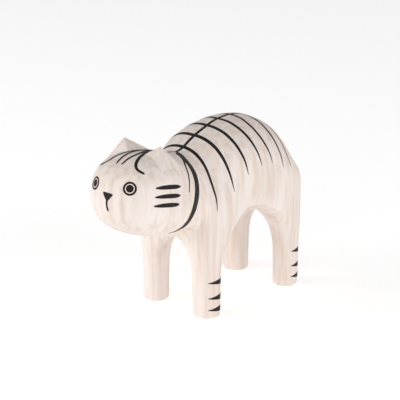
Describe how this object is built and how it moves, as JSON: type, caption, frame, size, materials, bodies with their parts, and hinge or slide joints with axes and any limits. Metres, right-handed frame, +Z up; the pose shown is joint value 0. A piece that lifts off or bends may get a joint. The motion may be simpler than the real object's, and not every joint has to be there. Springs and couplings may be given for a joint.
{
  "type": "carved wooden cat figure",
  "caption": "Small free-standing cat figure carved in whitewashed wood, with an arched back, pointed ears and hand-painted black stripes.",
  "frame": {"origin": "on the floor, in the middle of the figure's bounding box", "axes": "the figure faces -Y, its left side is +X, and +Z is up"},
  "size_m": [0.0348, 0.0902, 0.0621],
  "materials": {
    "body_wood": "matte whitewash",
    "head_wood": "matte whitewash",
    "ear_wood": "matte whitewash",
    "tail_wood": "matte whitewash",
    "dowel_wood": "bare hardwood",
    "black_paint": "satin brushed lines"
  },
  "bodies": {
    "root": {"body": "body_wood", "head": "head_wood", "ear_left": "ear_wood", "ear_right": "ear_wood", "tail": "tail_wood", "neck_dowel": "dowel_wood"}
  },
  "joints": []
}
